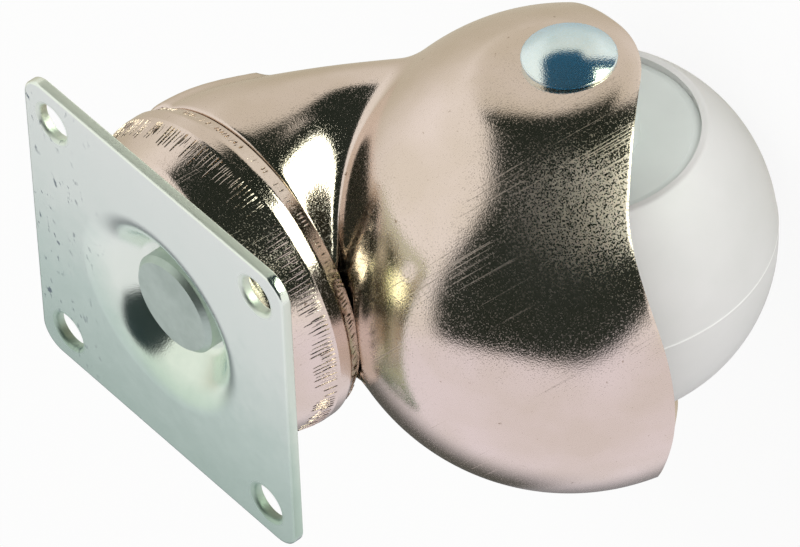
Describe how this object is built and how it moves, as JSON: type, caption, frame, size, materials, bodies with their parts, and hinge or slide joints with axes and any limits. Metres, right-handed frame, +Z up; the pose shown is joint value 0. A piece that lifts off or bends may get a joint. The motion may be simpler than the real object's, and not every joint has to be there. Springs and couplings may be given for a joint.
{
  "type": "hooded ball caster",
  "caption": "Furniture caster with a square screw-on plate, a ball race swivel, a pressed metal hood and a ball wheel that trails behind the swivel.",
  "frame": {"origin": "middle of the plate's top face, on the swivel axis", "axes": "+Z up out of the plate's top face, X and Y along the plate's edges; the wheel trails towards +X, turned 6.4 degrees to +Y at rest"},
  "size_m": [0.0699, 0.0536, 0.0597],
  "materials": {
    "zinc_plate": "bright zinc plated pressed steel",
    "zinc_rivet": "bright zinc plated steel",
    "nickel": "bright nickel plated pressed steel",
    "bearing_steel": "plain hardened steel, greased",
    "hub_plastic": "moulded polypropylene, pale grey",
    "tyre_vinyl": "soft moulded vinyl, off-white"
  },
  "bodies": {
    "mount": {"mounting_plate": "zinc_plate", "king_pin": "zinc_rivet", "swivel_cup": "nickel", "lower_race_washer": "bearing_steel"},
    "upper_ball_ring": {"upper_bearing_balls": "bearing_steel"},
    "lower_ball_ring": {"lower_bearing_balls": "bearing_steel"},
    "horn": {"hood": "nickel", "swivel_race": "bearing_steel", "axle_rivet": "zinc_rivet", "axle_sleeve": "bearing_steel", "left_axle_washer": "zinc_rivet", "right_axle_washer": "zinc_rivet"},
    "wheel": {"wheel_hub": "hub_plastic", "wheel_core": "hub_plastic", "tyre": "tyre_vinyl"}
  },
  "joints": [
    {"name": "swivel", "type": "hinge", "parent": "mount", "child": "horn", "pos_m": [0, 0, 0], "axis": [0, 0, 1], "continuous": true},
    {"name": "upper_balls_roll", "type": "hinge", "parent": "mount", "child": "upper_ball_ring", "pos_m": [0, 0, -0.0049], "axis": [0, 0, 1], "continuous": true},
    {"name": "lower_balls_roll", "type": "hinge", "parent": "mount", "child": "lower_ball_ring", "pos_m": [0, 0, -0.0162], "axis": [0, 0, 1], "continuous": true},
    {"name": "wheel_spin", "type": "hinge", "parent": "horn", "child": "wheel", "pos_m": [0.02385, 0.00268, -0.03975], "axis": [-0.1115, 0.9938, 0], "continuous": true}
  ],
  "couplings": [
    {"joint": "upper_balls_roll", "follows": "swivel", "ratio": 0.5},
    {"joint": "lower_balls_roll", "follows": "swivel", "ratio": 0.5}
  ]
}
